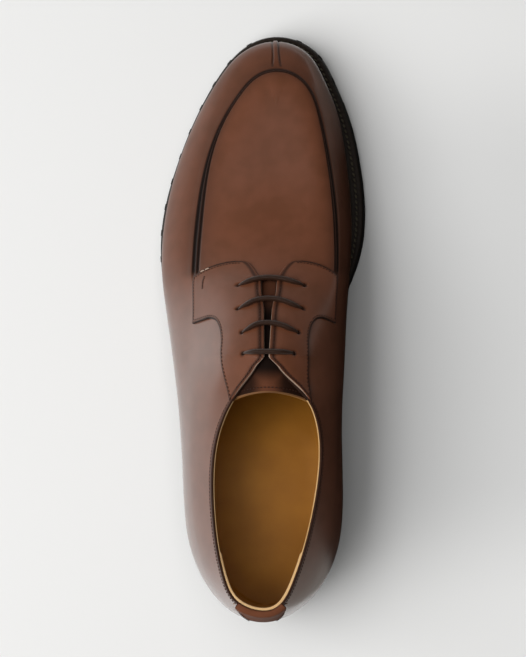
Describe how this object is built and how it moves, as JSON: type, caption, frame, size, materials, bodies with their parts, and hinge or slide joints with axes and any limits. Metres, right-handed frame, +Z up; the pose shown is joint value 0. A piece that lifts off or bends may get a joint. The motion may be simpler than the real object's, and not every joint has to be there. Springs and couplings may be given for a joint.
{
  "type": "derby dress shoe",
  "caption": "Left derby dress shoe: hollow leather upper with a split-toe apron seam, open lacing over a tongue, and a welted rubber sole with a notched edge and a block heel.",
  "frame": {"origin": "on the floor, under the centre of the shoe's bounding box", "axes": "+Y towards the toe, +X towards the inner side of the foot, +Z up"},
  "size_m": [0.1086, 0.302, 0.1012],
  "materials": {
    "brown_calf": "polished smooth calf, darker at the seams",
    "tan_lining": "matt tan lining leather",
    "black_rubber": "matt moulded rubber",
    "dark_welt": "dark inked edge, stitched",
    "waxed_lace": "thin round waxed cord"
  },
  "bodies": {
    "root": {"outsole": "black_rubber", "heel": "black_rubber", "welt": "dark_welt", "insole": "tan_lining", "upper": "brown_calf", "facing_lateral": "brown_calf", "facing_medial": "brown_calf", "heel_patch": "brown_calf", "tongue": "brown_calf", "lace_bar_1": "waxed_lace", "lace_bar_2": "waxed_lace", "lace_bar_3": "waxed_lace", "lace_bar_4": "waxed_lace"}
  },
  "joints": []
}
